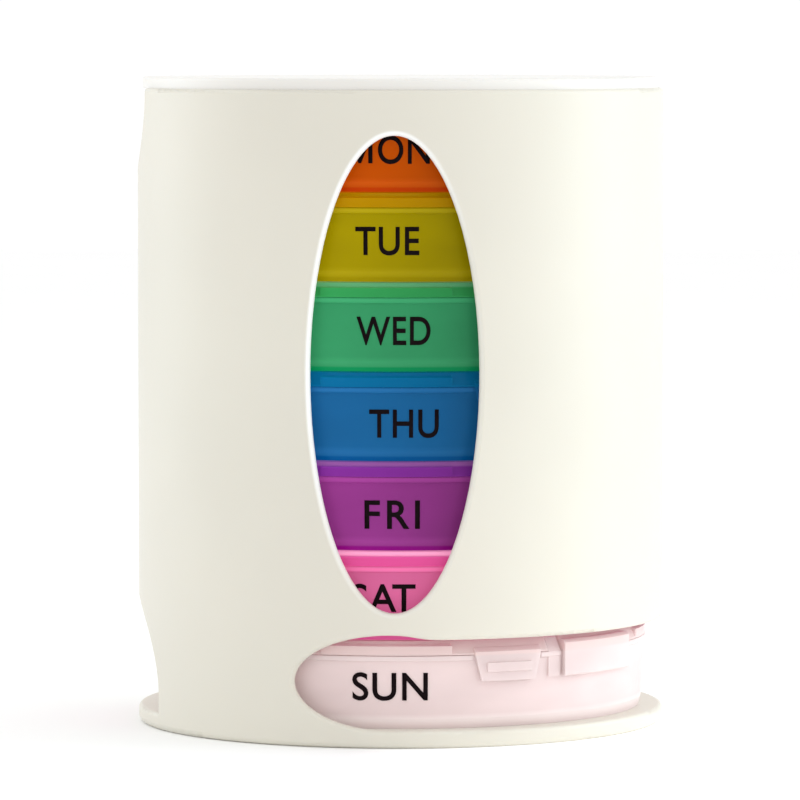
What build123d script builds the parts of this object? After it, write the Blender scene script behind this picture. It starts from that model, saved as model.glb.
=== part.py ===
"""Weekly pill dispenser: seven round day boxes stacked in a tube with a window and a drawer opening.

Millimetres, +Z up, the window faces -Y and the drawer opens towards +X. The origin is the centre of
the base's underside.
"""

from build123d import *
from math import cos, radians, sin, sqrt
import os

os.makedirs("parts", exist_ok=True)

DAYS = ["sun", "sat", "fri", "thu", "wed", "tue", "mon"]  # from the bottom up
DOSES = ["morning", "noon", "evening", "bedtime"]  # counter-clockwise from the front
QUARTER = 90.0

# ---- day box: overall -------------------------------------------------------------------------
box_radius = 58.0  # flange of the tub and skirt of the lids
box_height = 20.1
stack_gap = 0.3  # air between one box and the next
hinge_bearing = -141.0  # direction of the front lid's hinge line, from +X

# ---- tub --------------------------------------------------------------------------------------
tub_wall = 1.7
tub_floor = 1.5
tub_shoulder_step = 0.5  # the wall stands this far inside the flange
tub_foot_step = 1.0  # and this far inside it at the foot
tub_foot_height = 2.3
tub_foot_bevel = 0.5
flange_height = 1.0
flange_under_bevel = 0.3
partition_thickness = 1.4
floor_fillet = 2.0
hub_radius = 5.0
hub_core_radius = 3.0
hub_core_roof = 2.4  # plastic left over the hub's core, under the pin bores

# ---- quarter lids -----------------------------------------------------------------------------
lid_slope = 1.7  # the lid's top edge lies this far inside the skirt's foot
lid_plate = 1.5
skirt_wall = 1.1
skirt_height = 3.2  # from the lid's top to the skirt's lower edge
skirt_land = 0.3  # upright part at the skirt's lower edge
skirt_seat_gap = 0.2  # skirt to flange
hub_gap = 0.3  # barrel end to hub
lid_hub_gap = 0.6  # plate to hub, so that the plate clears it as it swings
knuckle_gap = 0.4  # a lid's free edge to the next lid's ear or barrel
band_start, band_end = 34.0, 64.0  # raised band on the skirt, in degrees from the hinge line
band_top_drop = 1.1

# ---- hinge ------------------------------------------------------------------------------------
pin_radius = 0.9
pin_running_gap = 0.05
pin_length = 2.0
pin_end_gap = 0.3
ear_half_width = 1.7
ear_depth = 3.9  # radial depth of the ear's block
ear_skin = 0.2  # the ear stands this far inside the flange
ear_height = 9.2  # from the box's top down
ear_top_drop = 0.2
ear_swing_gap = 0.7  # beside the ear, for the lid that turns there

# ---- hinge cover: the deep panel of the skirt beside each ear ----------------------------------
cover_end = 27.0  # degrees from the hinge line
cover_wall = 1.1
cover_gap = 0.3  # to the tub's wall
cover_top_drop = 0.8
cover_bevel = 0.7

# ---- latch tongue at each lid's free edge ------------------------------------------------------
tongue_bearing = 77.5  # degrees from the hinge line to the tongue's middle
tongue_top_width = 16.6
tongue_foot_width = 13.4
tongue_drop = 9.3  # from the lid's top to the tongue's foot
tongue_wall = 0.75
bar_width, bar_height, bar_depth = 11.2, 2.5, 0.5
bar_drop = 5.1  # from the lid's top to the bar's upper edge
notch_margin = 0.5  # flange cut away beside a cover or a tongue

# ---- housing ----------------------------------------------------------------------------------
base_thickness = 4.0
base_recess = 1.6
foot_ring_width = 5.0
housing_clearance = 1.1  # widest part of a box to the bore
housing_wall = 2.0
headroom = 3.0  # top box to the housing's rim
base_edge_radius = 1.5
opening_edge_radius = 1.0

window_half_width = 19.2
window_half_height = 54.2
window_centre_height = 85.0

slot_clearance = 0.6  # drawer opening above the lowest box
scoop_centre_x = -1.1  # rounded end of the drawer opening
scoop_half_width = 21.7
scoop_rise = 1.1  # the scoop's crown above the opening's level edge
scoop_blend = 12.0  # from the crown back down to the level edge

arch_half_width = 25.8
arch_height = 25.8  # above the base
arch_upright = 3.4
notch_half_width = 17.1
notch_depth = 18.8

# ---- tower lid --------------------------------------------------------------------------------
tower_lid_thickness = 2.6
tower_lid_inset = 1.2  # the disc's edge inside the housing's
tower_lid_edge_radius = 0.6
plug_depth = 1.8
plug_wall = 2.5
plug_clearance = 0.3

# ---- worked out -------------------------------------------------------------------------------
hinge_height = box_height - lid_plate
flange_top = box_height - skirt_height - skirt_seat_gap
flange_foot = flange_top - flange_height
lid_top_radius = box_radius - lid_slope
shoulder_radius = box_radius - tub_shoulder_step
foot_radius = box_radius - tub_foot_step
tub_bore_radius = shoulder_radius - tub_wall
skirt_inner_radius = box_radius - skirt_wall
skirt_foot = box_height - skirt_height
ear_inner_radius = box_radius - ear_depth
free_edge = ear_half_width + knuckle_gap
swing_edge = ear_half_width + ear_swing_gap
barrel_inner = hub_radius + hub_gap
barrel_outer = ear_inner_radius - hub_gap
pin_bore_radius = pin_radius + pin_running_gap
cover_inner_radius = shoulder_radius + cover_gap
cover_radius = cover_inner_radius + cover_wall
cover_foot = box_height - ear_height
tongue_half_angle = tongue_top_width / 2 / box_radius * 57.3
pitch = box_height + stack_gap
bore_radius = cover_radius + housing_clearance
housing_radius = bore_radius + housing_wall
rim_height = base_thickness + len(DAYS) * pitch - stack_gap + headroom
slot_top = base_thickness + box_height + slot_clearance
tower_lid_radius = housing_radius - tower_lid_inset


def bearing(degrees, distance, height=0.0):
    """A point at a distance from the axis, in a direction measured from +X."""
    return (distance * cos(radians(degrees)), distance * sin(radians(degrees)), height)


def upright_plane(degrees, distance):
    """A vertical plane that faces outwards, its x running round the box and its y up."""
    return Plane(
        origin=bearing(degrees, distance),
        x_dir=(-sin(radians(degrees)), cos(radians(degrees)), 0),
        z_dir=(cos(radians(degrees)), sin(radians(degrees)), 0),
    )


def arc_solid(points, start, end):
    """A profile of (radius, height) points turned about Z from one bearing to another."""
    with BuildPart() as piece:
        with BuildSketch(Plane.XZ.rotated((0, 0, start))):
            with BuildLine():
                Polyline(*points, close=True)
            make_face()
        revolve(axis=Axis.Z, revolution_arc=end - start)
    return piece.part


# ---- tub --------------------------------------------------------------------------------------
def day_tub():
    """Round tub on z = 0: four quarter compartments round a hub, with an ear at each hinge line."""
    with BuildPart() as tub:
        with BuildSketch(Plane.XZ):
            with BuildLine():
                Polyline(
                    (0, 0),
                    (foot_radius - tub_foot_bevel, 0),
                    (foot_radius, tub_foot_height),
                    (shoulder_radius, flange_foot - flange_under_bevel),
                    (box_radius, flange_foot),
                    (box_radius, flange_top),
                    (0, flange_top),
                    close=True,
                )
            make_face()
        revolve(axis=Axis.Z)

        # compartments, each with rounded floor edges
        with BuildPart(mode=Mode.PRIVATE) as hollow:
            with BuildSketch(Plane.XY.offset(tub_floor)):
                Circle(tub_bore_radius)
                with Locations(Rotation(0, 0, hinge_bearing)):
                    Rectangle(3 * box_radius, partition_thickness, mode=Mode.SUBTRACT)
                    Rectangle(partition_thickness, 3 * box_radius, mode=Mode.SUBTRACT)
                Circle(hub_radius, mode=Mode.SUBTRACT)
            extrude(amount=box_height)
            fillet(hollow.edges().group_by(Axis.Z)[0], radius=floor_fillet)
        add(hollow.part, mode=Mode.SUBTRACT)

        # ears that hold the outer pins, shaped to the lid's slope
        with BuildPart(mode=Mode.PRIVATE) as ears:
            add(
                arc_solid(
                    [
                        (ear_inner_radius, cover_foot),
                        (box_radius - ear_skin, cover_foot),
                        (box_radius - ear_skin, skirt_foot),
                        (lid_top_radius - ear_skin, box_height - ear_top_drop),
                        (ear_inner_radius, box_height - ear_top_drop),
                    ],
                    0,
                    360,
                )
            )
            with BuildSketch(Plane.XY):
                with Locations(Rotation(0, 0, hinge_bearing)):
                    Rectangle(3 * box_radius, 2 * ear_half_width)
                    Rectangle(2 * ear_half_width, 3 * box_radius)
            extrude(amount=box_height, mode=Mode.INTERSECT)
        add(ears.part)

        # hub, with its moulding core from below
        with BuildSketch(Plane.XY):
            Circle(hub_radius)
        extrude(amount=box_height - ear_top_drop)
        with BuildSketch(Plane.XY):
            Circle(hub_core_radius)
        extrude(amount=hinge_height - pin_bore_radius - hub_core_roof, mode=Mode.SUBTRACT)

        for quarter in range(len(DOSES)):
            hinge = hinge_bearing + QUARTER * quarter
            # bores for the inner and the outer pin, cut from the barrel's two ends
            for start, direction in ((barrel_inner, -1), (barrel_outer, 1)):
                with BuildSketch(upright_plane(hinge, start)):
                    with Locations((0, hinge_height)):
                        Circle(pin_bore_radius)
                extrude(amount=direction * (pin_length + pin_end_gap), mode=Mode.SUBTRACT)
            # flange cut away for the hinge cover and for the tongue
            margin = notch_margin / box_radius * 57.3
            zones = (
                (0.0, cover_end + margin),
                (
                    tongue_bearing - tongue_half_angle - margin,
                    tongue_bearing + tongue_half_angle + margin,
                ),
            )
            for start, end in zones:
                add(
                    arc_solid(
                        [
                            (shoulder_radius, flange_foot - 2 * flange_under_bevel),
                            (box_radius + 1, flange_foot - 2 * flange_under_bevel),
                            (box_radius + 1, flange_top + 1),
                            (shoulder_radius, flange_top + 1),
                        ],
                        hinge + start + (ear_half_width / box_radius * 57.3 if start == 0 else 0),
                        hinge + end,
                    ),
                    mode=Mode.SUBTRACT,
                )
    return tub.part


# ---- quarter lid ------------------------------------------------------------------------------
def quarter_lid():
    """Lid of one compartment, hinged along +X over the quarter from +X to +Y, on its box's floor
    plane. Its two pins are moulded on."""
    slope_top = box_height - skirt_height + skirt_land
    with BuildPart() as lid:
        # plate and skirt
        with BuildSketch(Plane.XZ):
            with BuildLine():
                Polyline(
                    (0, hinge_height),
                    (lid_top_radius - skirt_wall, hinge_height),
                    (skirt_inner_radius, slope_top),
                    (skirt_inner_radius, skirt_foot),
                    (box_radius, skirt_foot),
                    (box_radius, slope_top),
                    (lid_top_radius, box_height),
                    (0, box_height),
                    close=True,
                )
            make_face()
        revolve(axis=Axis.Z, revolution_arc=QUARTER)

        # raised band across the middle of the skirt
        add(
            arc_solid(
                [
                    (skirt_inner_radius, skirt_foot),
                    (box_radius, skirt_foot),
                    (box_radius, box_height - band_top_drop),
                    (lid_top_radius, box_height - band_top_drop + 0.6),
                    (lid_top_radius - skirt_wall, box_height - band_top_drop),
                ],
                band_start,
                band_end,
            )
        )

        # hinge cover
        add(
            arc_solid(
                [
                    (cover_inner_radius, cover_foot),
                    (cover_radius - 0.3, cover_foot),
                    (cover_radius, cover_foot + 0.3),
                    (cover_radius, box_height - cover_top_drop - cover_bevel),
                    (cover_radius - cover_bevel, box_height - cover_top_drop),
                    (lid_top_radius - skirt_wall, box_height - cover_top_drop),
                    (skirt_inner_radius, skirt_foot),
                    (cover_inner_radius, skirt_foot),
                ],
                0.0,
                cover_end,
            )
        )

        # latch tongue, a trapezoid that hangs outside the tub's wall, with a raised bar
        with BuildPart(mode=Mode.PRIVATE) as tongue:
            add(
                arc_solid(
                    [
                        (cover_inner_radius, box_height - tongue_drop),
                        (cover_inner_radius + tongue_wall, box_height - tongue_drop),
                        (cover_inner_radius + tongue_wall, skirt_foot + 0.6),
                        (box_radius - 0.6, skirt_foot + 1.6),
                        (skirt_inner_radius, skirt_foot),
                        (cover_inner_radius, skirt_foot),
                    ],
                    tongue_bearing - 2 * tongue_half_angle,
                    tongue_bearing + 2 * tongue_half_angle,
                )
            )
            with BuildSketch(upright_plane(tongue_bearing, 0)):
                with BuildLine():
                    Polyline(
                        (-tongue_foot_width / 2, box_height - tongue_drop),
                        (tongue_foot_width / 2, box_height - tongue_drop),
                        (tongue_top_width / 2, skirt_foot),
                        (tongue_top_width / 2, box_height),
                        (-tongue_top_width / 2, box_height),
                        (-tongue_top_width / 2, skirt_foot),
                        close=True,
                    )
                make_face()
            extrude(amount=2 * box_radius, mode=Mode.INTERSECT)
        add(tongue.part)
        with BuildPart(mode=Mode.PRIVATE) as bar:
            add(
                arc_solid(
                    [
                        (cover_inner_radius + 0.2, box_height - bar_drop - bar_height),
                        (
                            cover_inner_radius + tongue_wall + bar_depth,
                            box_height - bar_drop - bar_height + bar_depth,
                        ),
                        (cover_inner_radius + tongue_wall + bar_depth, box_height - bar_drop),
                        (cover_inner_radius + 0.2, box_height - bar_drop),
                    ],
                    tongue_bearing - tongue_half_angle,
                    tongue_bearing + tongue_half_angle,
                )
            )
            with BuildSketch(upright_plane(tongue_bearing, 0)):
                with Locations((0, box_height / 2)):
                    Rectangle(bar_width, 2 * box_height)
            extrude(amount=2 * box_radius, mode=Mode.INTERSECT)
        add(bar.part)

        # room for the hub, the ear at this hinge line and the next hinge line
        with BuildSketch(Plane.XY):
            Circle(hub_radius + lid_hub_gap)
            with Locations((0, swing_edge / 2)):
                with Locations((barrel_outer, 0)):
                    Rectangle(
                        2 * box_radius,
                        swing_edge,
                        align=(Align.MIN, Align.CENTER),
                    )
            with Locations((free_edge / 2, 0)):
                Rectangle(free_edge, 3 * box_radius)
        extrude(amount=box_height + 1, mode=Mode.SUBTRACT)

        # hinge barrel, flush with the top, and its two pins
        with BuildSketch(Plane.YZ.offset(barrel_inner)):
            with Locations((0, hinge_height)):
                Circle(lid_plate)
        extrude(amount=barrel_outer - barrel_inner)
        with BuildSketch(Plane.YZ.offset(barrel_inner - pin_length)):
            with Locations((0, hinge_height)):
                Circle(pin_radius)
        extrude(amount=barrel_outer - barrel_inner + 2 * pin_length)
    return lid.part


# ---- housing ----------------------------------------------------------------------------------
def on_outer_wall(edge):
    """True for an edge that lies on the housing's outer surface."""
    points = [edge @ t for t in (0.1, 0.35, 0.6, 0.85)]
    return all(abs(sqrt(p.X**2 + p.Y**2) - housing_radius) < 0.01 for p in points)


def tower_housing():
    with BuildPart() as housing:
        with BuildSketch(Plane.XY):
            Circle(housing_radius)
        extrude(amount=rim_height)
        fillet(housing.edges().group_by(Axis.Z)[0], radius=base_edge_radius)
        with BuildSketch(Plane.XY.offset(base_thickness)):
            Circle(bore_radius)
        extrude(amount=rim_height, mode=Mode.SUBTRACT)

        # window in the front
        with BuildSketch(Plane.XZ):
            with Locations((0, window_centre_height)):
                Ellipse(window_half_width, window_half_height)
        extrude(amount=2 * housing_radius, mode=Mode.SUBTRACT)

        # drawer opening round the right-hand side, with a rounded scoop at each end
        scoop_half_height = (slot_top + scoop_rise - base_thickness) / 2
        scoop_middle = base_thickness + scoop_half_height
        crown = (scoop_centre_x, slot_top + scoop_rise)
        blend_end = (scoop_centre_x + scoop_blend, slot_top)
        with BuildSketch(Plane.XZ):
            with BuildLine():
                EllipticalCenterArc(
                    (scoop_centre_x, scoop_middle),
                    scoop_half_width,
                    scoop_half_height,
                    start_angle=90,
                    arc_size=180,
                )
                Line((scoop_centre_x, base_thickness), (2 * housing_radius, base_thickness))
                Line((2 * housing_radius, base_thickness), (2 * housing_radius, slot_top))
                Line((2 * housing_radius, slot_top), blend_end)
                Bezier(
                    blend_end,
                    (blend_end[0] - scoop_blend / 2, slot_top),
                    (crown[0] + scoop_blend / 2, crown[1]),
                    crown,
                )
            make_face()
        extrude(amount=2 * housing_radius, both=True, mode=Mode.SUBTRACT)

        # arch on the left, for the finger that pushes the lowest box out
        arch_rise = arch_height - arch_upright
        with BuildSketch(Plane.YZ):
            with Locations((0, base_thickness + arch_upright)):
                Ellipse(arch_half_width, arch_rise)
                Rectangle(
                    3 * arch_half_width,
                    2 * arch_rise,
                    align=(Align.CENTER, Align.MAX),
                    mode=Mode.SUBTRACT,
                )
            with Locations((0, base_thickness)):
                Rectangle(2 * arch_half_width, arch_upright, align=(Align.CENTER, Align.MIN))
        extrude(amount=-2 * housing_radius, mode=Mode.SUBTRACT)

        # thumb notch in the rim, over the arch
        with BuildSketch(Plane.YZ):
            with Locations((0, rim_height)):
                Ellipse(notch_half_width, notch_depth)
        extrude(amount=-2 * housing_radius, mode=Mode.SUBTRACT)

        rounded = housing.edges().filter_by(on_outer_wall)
        fillet(rounded.filter_by(lambda e: e.center().Z > base_edge_radius), opening_edge_radius)

        # underside hollowed to a foot ring
        with BuildSketch(Plane.XY):
            Circle(housing_radius - base_edge_radius - foot_ring_width)
        extrude(amount=base_recess, mode=Mode.SUBTRACT)
    return housing.part


# ---- tower lid --------------------------------------------------------------------------------
def tower_cover():
    with BuildPart() as cover:
        with BuildSketch(Plane.XY.offset(rim_height)):
            Circle(tower_lid_radius)
        extrude(amount=tower_lid_thickness)
        fillet(cover.edges().group_by(Axis.Z)[-1], radius=tower_lid_edge_radius)
        with BuildSketch(Plane.XY.offset(rim_height)):
            Circle(bore_radius - plug_clearance)
            Circle(bore_radius - plug_clearance - plug_wall, mode=Mode.SUBTRACT)
        extrude(amount=-plug_depth)
    return cover.part


def write(part, name):
    part.label = name
    export_step(part, f"parts/{name}.step")


write(tower_housing(), "housing")
write(tower_cover(), "tower_lid")

tub = day_tub()
lid = quarter_lid()
for level, day in enumerate(DAYS):
    floor = base_thickness + level * pitch
    write(tub.moved(Location((0, 0, floor))), f"{day}_tub")
    for quarter, dose in enumerate(DOSES):
        turn = hinge_bearing + QUARTER * quarter
        write(lid.moved(Location((0, 0, floor), (0, 0, turn))), f"{day}_lid_{dose}")
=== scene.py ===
from math import atan, cos, pi, radians, sin

import bpy
from mathutils import Matrix, Vector


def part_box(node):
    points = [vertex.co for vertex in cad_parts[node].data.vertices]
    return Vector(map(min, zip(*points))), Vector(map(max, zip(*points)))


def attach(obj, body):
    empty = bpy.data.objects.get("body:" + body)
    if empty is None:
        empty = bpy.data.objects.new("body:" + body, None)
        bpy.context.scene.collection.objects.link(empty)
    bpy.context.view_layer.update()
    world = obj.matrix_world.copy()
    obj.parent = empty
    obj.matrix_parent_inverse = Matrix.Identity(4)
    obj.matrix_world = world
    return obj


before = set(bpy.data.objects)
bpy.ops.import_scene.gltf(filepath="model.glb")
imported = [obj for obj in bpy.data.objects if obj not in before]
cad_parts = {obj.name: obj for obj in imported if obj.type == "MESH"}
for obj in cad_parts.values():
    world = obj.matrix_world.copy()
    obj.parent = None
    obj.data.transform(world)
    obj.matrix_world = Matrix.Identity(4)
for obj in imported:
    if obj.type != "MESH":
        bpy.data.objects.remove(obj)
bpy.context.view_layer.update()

DAYS = ["sun", "sat", "fri", "thu", "wed", "tue", "mon"]  # from the base up
DOSES = ["morning", "noon", "evening", "bedtime"]
MM = 0.001


# ---- housing and tower lid --------------------------------------------------------------------
# The tube and its base are one injection moulding in warm white ABS, with a fine satin grain from
# the mould. The thin disc on top is the same plastic, pressed into the tube by its plug ring.

class Value:
    """One output of a material's nodes. Arithmetic on it adds Math nodes."""

    def __init__(self, shader, socket):
        self.shader = shader
        self.socket = socket

    def maths(self, operation, *values):
        settings = {"operation": operation}
        return self.shader.node("ShaderNodeMath", settings, dict(enumerate(values)))

    def __add__(self, other):
        return self.maths("ADD", self, other)

    def __sub__(self, other):
        return self.maths("SUBTRACT", self, other)

    def __rsub__(self, other):
        return self.maths("SUBTRACT", other, self)

    def __mul__(self, other):
        return self.maths("MULTIPLY", self, other)

    def __truediv__(self, other):
        return self.maths("DIVIDE", self, other)


class Shader:
    """A material with a Principled surface, built a node at a time."""

    def __init__(self, name):
        self.material = bpy.data.materials.new(name)
        self.material.use_nodes = True
        self.tree = self.material.node_tree
        self.surface = self.tree.nodes["Principled BSDF"]
        self.place = self.node("ShaderNodeTexCoord", {}, {}, "Object")

    def along(self, axis):
        """The place's X, Y or Z in metres."""
        return self.node("ShaderNodeSeparateXYZ", {}, {"Vector": self.place}, axis)

    def fill(self, node, inputs):
        for key, value in inputs.items():
            if isinstance(value, Value):
                self.tree.links.new(value.socket, node.inputs[key])
            else:
                node.inputs[key].default_value = value

    def node(self, kind, settings, inputs, output=0):
        node = self.tree.nodes.new(kind)
        for key, value in settings.items():
            setattr(node, key, value)
        self.fill(node, inputs)
        return Value(self, node.outputs[output])

    def noise(self, size, detail=3.0, stretch=(1, 1, 1)):
        """Noise with features of about the given size in metres, stretched along the axes."""
        scale = tuple(1 / s for s in stretch)
        moved = self.node("ShaderNodeMapping", {}, {"Vector": self.place, "Scale": scale}, "Vector")
        inputs = {"Vector": moved, "Scale": 1 / size, "Detail": detail}
        return self.node("ShaderNodeTexNoise", {}, inputs, "Fac")

    def ramp(self, value, low, high, dark=0.0, light=1.0):
        """Value between low and high, stretched to run from dark to light."""
        span = {"From Min": low, "From Max": high, "To Min": dark, "To Max": light}
        return self.node("ShaderNodeMapRange", {"clamp": True}, {"Value": value, **span}, "Result")

    def mix(self, share, first, second):
        """Two colours mixed. The Mix node takes them at inputs 6 and 7 and gives output 2."""
        inputs = {"Factor": share, 6: first, 7: second}
        return self.node("ShaderNodeMix", {"data_type": "RGBA"}, inputs, 2)

    def bump(self, height, depth):
        """A normal from a height of 0 to 1 that stands for the given depth in metres."""
        inputs = {"Height": height, "Distance": depth, "Strength": 1.0}
        return self.node("ShaderNodeBump", {}, inputs, "Normal")

    def finish(self, **inputs):
        self.fill(self.surface, {key.replace("_", " "): value for key, value in inputs.items()})
        return self.material


def dress(name, material):
    """Gives a carried-over CAD node its finish."""
    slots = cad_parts[name].material_slots
    for slot in slots:
        slot.material = material


WINDOW_HALF_WIDTH = 19.2 * MM
WINDOW_HALF_HEIGHT = 54.2 * MM
WINDOW_CENTRE = 85.0 * MM
WINDOW_EDGE = 1.1 * MM  # width of its rounded edge
# painted highlight: the window's rounded edge is painted pale, fading from the upper left to the
# lower right
EDGE_HIGHLIGHT_COLOUR = (0.93, 0.93, 0.91, 1)
EDGE_HIGHLIGHT_SHARE = (1.0, 0.15)  # share of the painted highlight, at the upper left and at the lower right


def window_edge_highlight(s):
    """Mask of the painted highlight: 1 on the rounded edge of the window and 0 away from it, by the
    distance to its ellipse.

    Only the front has it, and it weakens from the upper left to the lower right.
    """
    x = s.along("X")
    z = s.along("Z") - WINDOW_CENTRE
    across = x / WINDOW_HALF_WIDTH
    up = z / WINDOW_HALF_HEIGHT
    slope = (across * across) / WINDOW_HALF_WIDTH**2 + (up * up) / WINDOW_HALF_HEIGHT**2
    outside = (across * across + up * up - 1) / (slope.maths("SQRT", slope) * 2)
    front = s.ramp(s.along("Y"), -10 * MM, 0.0, 1.0, 0.0)
    share = s.ramp(across - up, -0.9, 0.5, *EDGE_HIGHLIGHT_SHARE)
    return s.ramp(outside, WINDOW_EDGE * 0.7, WINDOW_EDGE * 1.2, 1.0, 0.0) * front * share


def ivory_plastic(name, tint, grain_depth, rough):
    s = Shader(name)
    deep = tuple(c * 0.97 for c in tint)
    cloud = s.noise(0.05, detail=2.0)
    grain = s.noise(0.0006, detail=2.0)
    scuff = s.ramp(s.noise(0.004, detail=4.0, stretch=(1, 1, 0.25)), 0.62, 0.74)
    colour = s.mix(s.ramp(cloud, 0.35, 0.65), (*deep, 1), (*tint, 1))
    # painted highlight mixed into the colour along the window's rounded edge
    colour = s.mix(window_edge_highlight(s), colour, EDGE_HIGHLIGHT_COLOUR)
    return s.finish(
        Base_Color=colour,
        Roughness=s.ramp(grain, 0.3, 0.7, rough - 0.04, rough + 0.04) + scuff * 0.06,
        Normal=s.bump(grain, grain_depth),
        Subsurface_Weight=0.12,
        Subsurface_Radius=(0.003, 0.0025, 0.002),
        Subsurface_Scale=1.0,
        IOR=1.5,
    )


dress("housing", ivory_plastic("ivory satin plastic", (0.72, 0.692, 0.605), 0.00001, 0.42))
dress("tower_lid", ivory_plastic("ivory smooth plastic", (0.81, 0.79, 0.75), 0.000006, 0.36))


# ---- day boxes --------------------------------------------------------------------------------
# Each tub and its four quarter lids are moulded in one tinted plastic, which scatters most light
# and lets a little through: the lowest in frosted pink, the others in strong colours. The lids,
# which lie over a second wall, look deeper. Painted highlights pale the thin rim, a band above the
# foot and the tops of some lids; the coloured boxes carry painted light and shade from left to
# right, and all glow with painted light.

TUB_TINTS = {
    "mon": (0.465, 0.073, 0.0005),
    "tue": (0.315, 0.248, 0.0005),
    "wed": (0.036, 0.268, 0.112),
    "thu": (0.010, 0.108, 0.270),
    "fri": (0.252, 0.036, 0.215),
    "sat": (0.525, 0.115, 0.262),
    "sun": (0.815, 0.68, 0.67),
}
LID_TINTS = {
    "mon": (0.45, 0.06, 0.0005),
    "tue": (0.385, 0.205, 0.0005),
    "wed": (0.030, 0.265, 0.075),
    "thu": (0.002, 0.120, 0.265),
    "fri": (0.185, 0.024, 0.255),
    "sat": (0.52, 0.068, 0.235),
    "sun": (0.785, 0.625, 0.605),
}
PAINTED_LIT_SIDE, PAINTED_SHADE_SIDE = 1.1, 0.65  # painted light and shade: lightness of the tint at the reach left and right of the middle
# the painted shade at SAT's right side is weaker
SAT_PAINTED_SHADE_SIDE = 1.05
PAINTED_SIDE_REACH = 18 * MM
PAINTED_GLOW = {day: 0.1 if day == "sun" else 0.4 for day in DAYS}  # painted light: an emitted glow in the plastic's own colour
PAINTED_TOP_HIGHLIGHT = {"sat": 0.85, "fri": 0.25, "wed": 0.3}  # share of a painted highlight at the top of the lids
TOP_HIGHLIGHT_BAND = (19.2 * MM, 20.3 * MM)
FOOT_LINE = 1.0 * MM
RIM_HIGHLIGHT_BAND = (15.8 * MM, 16.6 * MM)  # painted highlight band at the rim, above the tub's floor plane
# painted highlight band above the foot
FOOT_HIGHLIGHT_BAND = (1.2 * MM, 2.8 * MM)
RIM_HIGHLIGHT_SHARE, SUN_RIM_HIGHLIGHT_SHARE, FOOT_HIGHLIGHT_SHARE = 0.6, 0.1, 0.35  # of the paler tint, painted highlights
FOOT_LINE_DROP = 0.033  # the strip under the foot line is darker by this much
ROUGH, FROSTED_ROUGH = 0.2, 0.36
SKIRT_FOOT = (16.5 * MM, 17.0 * MM)


def band(s, height, low, high, blur):
    """1 between two heights, fading to 0 outside them."""
    up = s.ramp(height, low - blur, low + blur)
    down = s.ramp(height, high - blur, high + blur)
    return up * (1 - down)


def box_plastic(name, day, is_lid):
    s = Shader(name)
    tint = TUB_TINTS[day]
    deep = tuple(c * 0.9 for c in tint)
    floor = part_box(f"{day}_tub")[0][2]
    height = s.along("Z") - floor
    swirl = s.noise(0.03, detail=2.0, stretch=(1, 1, 0.35))
    grain = s.noise(0.002, detail=2.0)
    colour = s.mix(s.ramp(swirl, 0.35, 0.65), (*deep, 1), (*tint, 1))
    if is_lid:
        over_wall = s.ramp(height, *SKIRT_FOOT)
        colour = s.mix(over_wall, colour, (*LID_TINTS[day], 1))
        # painted highlight in a band along the lid's top edge
        top_highlight = band(s, height, *TOP_HIGHLIGHT_BAND, 0.2 * MM) * PAINTED_TOP_HIGHLIGHT.get(day, 0.0)
        colour = s.mix(top_highlight, colour, (*(min(0.85, c * 1.3 + 0.25) for c in tint), 1))
    else:
        # painted highlights: bands at the rim and above the foot mixed toward a paler tint
        highlight_tint = tuple(min(1.0, c * 1.35 + 0.01) for c in tint)
        rim_highlight = band(s, height, *RIM_HIGHLIGHT_BAND, 0.25 * MM) * (SUN_RIM_HIGHLIGHT_SHARE if day == "sun" else RIM_HIGHLIGHT_SHARE)
        foot_highlight = band(s, height, *FOOT_HIGHLIGHT_BAND, 0.6 * MM) * FOOT_HIGHLIGHT_SHARE
        colour = s.mix(rim_highlight + foot_highlight, colour, (*highlight_tint, 1))
        if day != "sun":
            dark = tuple(max(c - FOOT_LINE_DROP, 0.0005) for c in tint)
            strip = s.ramp(height, FOOT_LINE * 0.8, FOOT_LINE * 1.2, 1.0, 0.0)
            colour = s.mix(strip, colour, (*dark, 1))
    # painted light and shade: each coloured box's tint is scaled from lighter at the left to darker
    # at the right
    if day != "sun":
        shade_side_value = SAT_PAINTED_SHADE_SIDE if day == "sat" else PAINTED_SHADE_SIDE
        painted_side_shading = s.ramp(s.along("X"), -PAINTED_SIDE_REACH, PAINTED_SIDE_REACH, PAINTED_LIT_SIDE, shade_side_value)
        colour = s.node("ShaderNodeVectorMath", {"operation": "SCALE"}, {0: colour, "Scale": painted_side_shading})
    rough = FROSTED_ROUGH if day == "sun" else ROUGH
    return s.finish(
        Base_Color=colour,
        # painted light: the plastic glows with its own colour
        Emission_Color=colour,
        Emission_Strength=PAINTED_GLOW[day],
        Roughness=s.ramp(grain, 0.3, 0.7, rough - 0.03, rough + 0.03),
        Normal=s.bump(grain, 0.000003),
        Transmission_Weight=0.15,
        Subsurface_Weight=0.5,
        Subsurface_Radius=(1.0, 1.0, 1.0),
        Subsurface_Scale=2.5 * MM,
        Specular_IOR_Level=0.35,
        Specular_Tint=(*(min(1.0, 0.1 + c) for c in tint), 1),
        IOR=1.46,
    )


for day in DAYS:
    dress(f"{day}_tub", box_plastic(f"{day} tub plastic", day, is_lid=False))
    lid_plastic = box_plastic(f"{day} lid plastic", day, is_lid=True)
    for dose in DOSES:
        dress(f"{day}_lid_{dose}", lid_plastic)


# ---- day names --------------------------------------------------------------------------------
# Each tub has its day's name printed on the front in black ink, a thin film on the wall.

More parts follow.
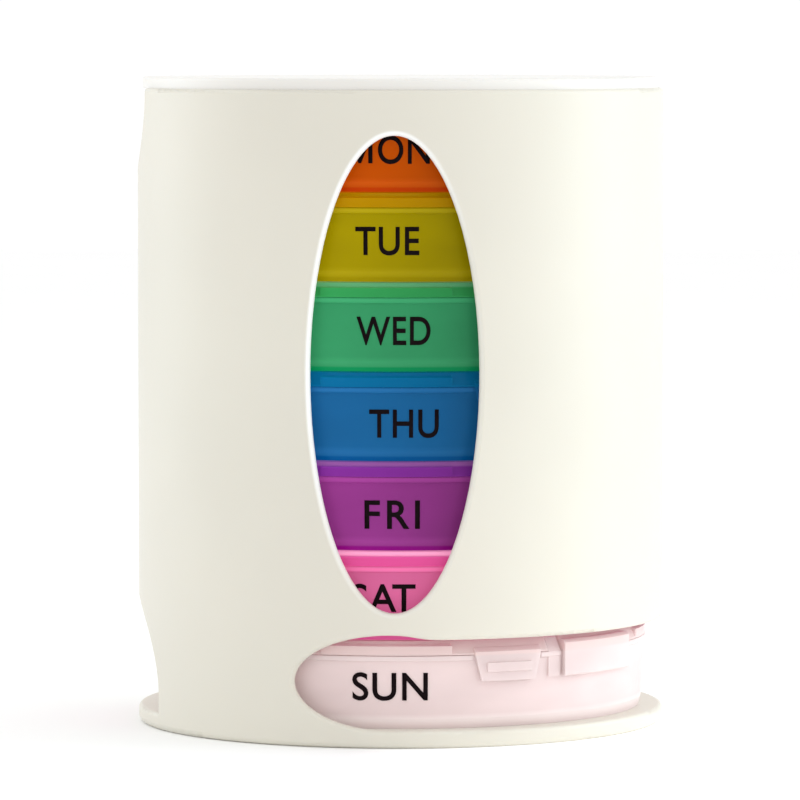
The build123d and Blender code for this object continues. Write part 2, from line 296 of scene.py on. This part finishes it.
NAME_RADIUS = 57.1 * MM
WALL_FOOT, WALL_TOP = 2.3, 15.4  # mm above the tub's floor plane, ends of its tapered wall
WALL_FOOT_RADIUS, WALL_TAPER = 57.0, 0.5  # mm
SPACING, FRI_SPACING = 1.08, 1.2
THICKENED = 0.012  # the letters' outline moves out by this, in the font's own unit
SAT_KERNING = -8.0  # between the A and the T
BEND_STEPS = 18  # cuts that let a word follow the round wall
CAP_HEIGHT = 6.5 * MM
INK_THICKNESS = 0.08 * MM
INK_TINTS = [(0.005, 0.002, 0.003, 1), (0.008, 0.004, 0.005, 1)]
NAMES = {  # middle of the word round the box in degrees from the front, width, top of the caps
    "mon": (-1.46, 18.8 * MM, 12.8 * MM),
    "tue": (-1.7, 14.5 * MM, 12.5 * MM),
    "wed": (-0.3, 16.8 * MM, 12.5 * MM),
    "thu": (2.1, 15.8 * MM, 11.8 * MM),
    "fri": (-0.6, 12.6 * MM, 11.5 * MM),
    "sat": (-2.6, 14.6 * MM, 12.85 * MM),
    "sun": (-1.1, 17.2 * MM, 13.0 * MM),
}


M_WIDTH, M_GAP, M_STROKE, M_TOP = 0.765, 0.163, 0.128, 0.694  # in the font's own unit
M_OUTLINE = [
    (0, 0),
    (M_STROKE, 0),
    (M_STROKE, 0.46),
    (M_WIDTH / 2 - 0.04, 0),
    (M_WIDTH / 2 + 0.04, 0),
    (M_WIDTH - M_STROKE, 0.46),
    (M_WIDTH - M_STROKE, 0),
    (M_WIDTH, 0),
    (M_WIDTH, M_TOP),
    (M_WIDTH - M_STROKE, M_TOP),
    (M_WIDTH / 2, 0.19),
    (M_STROKE, M_TOP),
    (0, M_TOP),
]


def ink():
    s = Shader("black print")
    speck = s.noise(0.0008, detail=3.0)
    return s.finish(
        Base_Color=s.mix(s.ramp(speck, 0.3, 0.7), *INK_TINTS),
        Roughness=s.ramp(speck, 0.3, 0.7, 0.45, 0.6),
        Specular_IOR_Level=0.04,
    )


def deselect():
    if bpy.context.object and bpy.context.object.mode != "OBJECT":
        bpy.ops.object.mode_set(mode="OBJECT")
    bpy.ops.object.select_all(action="DESELECT")


def wall_radius(height):
    """Radius of the tub's tapered wall at a height above its floor."""
    share = (height / MM - WALL_FOOT) / (WALL_TOP - WALL_FOOT)
    return (WALL_FOOT_RADIUS + WALL_TAPER * share) * MM


def add_m(word):
    """Sets an M before a word. Its middle reaches lower than the M of the font does."""
    deselect()
    word.select_set(True)
    left = min(v.co.x for v in word.data.vertices) - M_GAP - M_WIDTH
    letter = bpy.data.meshes.new("letter")
    points = [(left + x, y, 0) for x, y in M_OUTLINE]
    letter.from_pydata(points, [], [tuple(range(len(points)))])
    m = bpy.data.objects.new("letter", letter)
    bpy.context.scene.collection.objects.link(m)
    m.select_set(True)
    bpy.context.view_layer.objects.active = word
    bpy.ops.object.join()


def day_name(day, material):
    middle, width, top = NAMES[day]
    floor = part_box(f"{day}_tub")[0][2]
    deselect()
    bpy.ops.object.text_add()
    word = bpy.context.object
    word.data.body = "ON" if day == "mon" else day.upper()
    word.data.space_character = FRI_SPACING if day == "fri" else SPACING
    word.data.offset = THICKENED
    if day == "sat":
        word.data.body_format[1].kerning = SAT_KERNING
    word.data.resolution_u = 8
    bpy.ops.object.convert(target="MESH")
    word = bpy.context.object
    word.name = f"{day}_name"
    if day == "mon":
        add_m(word)
    mesh = word.data
    low = Vector(min(v.co[i] for v in mesh.vertices) for i in range(3))
    high = Vector(max(v.co[i] for v in mesh.vertices) for i in range(3))
    size = high - low
    centre = Matrix.Translation((-(low.x + high.x) / 2, -high.y, 0))
    mesh.transform(Matrix.Diagonal((width / size.x, CAP_HEIGHT / size.y, 1, 1)) @ centre)
    bpy.ops.object.mode_set(mode="EDIT")
    bpy.ops.mesh.select_all(action="SELECT")
    bpy.ops.mesh.remove_doubles(threshold=1e-6)
    bpy.ops.mesh.quads_convert_to_tris()
    for step in range(1, BEND_STEPS):
        bpy.ops.mesh.select_all(action="SELECT")
        x = width * (step / BEND_STEPS - 0.5)
        bpy.ops.mesh.bisect(plane_co=(x, 0, 0), plane_no=(1, 0, 0))
    bpy.ops.object.mode_set(mode="OBJECT")
    film = word.modifiers.new("film", "SOLIDIFY")
    film.thickness = INK_THICKNESS
    film.offset = 1.0
    bpy.ops.object.modifier_apply(modifier=film.name)
    for v in mesh.vertices:
        height = top + v.co.y
        out = wall_radius(height) + v.co.z
        turn = radians(middle) + v.co.x / NAME_RADIUS
        v.co = (out * sin(turn), -out * cos(turn), floor + height)
    mesh.materials.append(material)
    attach(word, f"{day}_tub")


black_print = ink()
for day in DAYS:
    day_name(day, black_print)


# ---- stage ------------------------------------------------------------------------------------
# A white floor, lit from below at the right, under a bright even sky, with large cool soft lights
# at both sides, the stronger one on the right, and a long lens a little above the tower.

FLOOR_SIZE = 6.0
deselect()
bpy.ops.mesh.primitive_plane_add(size=FLOOR_SIZE, location=(0, 0, 0))
floor = bpy.context.object
floor.name = "floor"
white = Shader("white floor")
GLOW_PLACE = (0.10, -0.07)
GLOW_FULL, GLOW_END = 0.03, 0.11  # metres from its middle
east = white.along("X") - GLOW_PLACE[0]
north = white.along("Y") - GLOW_PLACE[1]
glow = white.ramp(east * east + north * north, GLOW_FULL**2, GLOW_END**2, 1.0, 0.0)
floor.data.materials.append(
    white.finish(
        Base_Color=white.mix(white.noise(0.08), (0.96, 0.96, 0.96, 1), (0.98, 0.98, 0.98, 1)),
        Emission_Color=white.mix(glow, (0, 0, 0, 1), (1, 1, 1, 1)),
        Emission_Strength=0.45,
        Roughness=0.7,
        Specular_IOR_Level=0.2,
    )
)

SKY_STRENGTH = 1.03
COOL_WHITE = (0.84, 0.94, 1.0)

world = bpy.data.worlds.new("sky")
bpy.context.scene.world = world
world.use_nodes = True
world.node_tree.nodes["Background"].inputs["Color"].default_value = (1, 1, 1, 1)
world.node_tree.nodes["Background"].inputs["Strength"].default_value = SKY_STRENGTH


def soft_box(name, place, target, size, power):
    light = bpy.data.lights.new(name, "AREA")
    light.color = COOL_WHITE
    light.shape = "RECTANGLE"
    light.size, light.size_y = size
    light.energy = power
    lamp = bpy.data.objects.new(name, light)
    lamp.location = place
    lamp.rotation_euler = (Vector(target) - Vector(place)).to_track_quat("-Z", "Y").to_euler()
    bpy.context.scene.collection.objects.link(lamp)


soft_box("right light", (1.0, 0.06, 0.4), (0, 0, 0.08), (0.7, 0.8), 5.0)
soft_box("left light", (-0.9, 0.35, 0.4), (0, 0, 0.08), (0.6, 0.8), 2.0)

# The photograph's frame is 800 pixels square. The lens, the eye's height and the pitch come from
# the tower's edges in it, such as its top seam at 90.5 and its front foot at 748, for a distance
# that is a guess.
FRAME_PX = 800
LENS_PX = 5925
EYE_DISTANCE = 1.400
EYE_HEIGHT = 0.163
EYE_TURN = radians(1.3)
PITCH = radians(3.572)
AXIS_PX = 400.5

camera = bpy.data.cameras.new("camera")
camera.sensor_width = 36.0
camera.lens = camera.sensor_width * LENS_PX / FRAME_PX
camera.clip_end = 10.0
eye = bpy.data.objects.new("camera", camera)
eye.location = (EYE_DISTANCE * sin(EYE_TURN), -EYE_DISTANCE * cos(EYE_TURN), EYE_HEIGHT)
aim = EYE_TURN + atan((AXIS_PX - FRAME_PX / 2) / LENS_PX)
eye.rotation_euler = (pi / 2 - PITCH, 0, aim)
bpy.context.scene.collection.objects.link(eye)
bpy.context.scene.camera = eye
bpy.context.scene.view_settings.view_transform = "Standard"
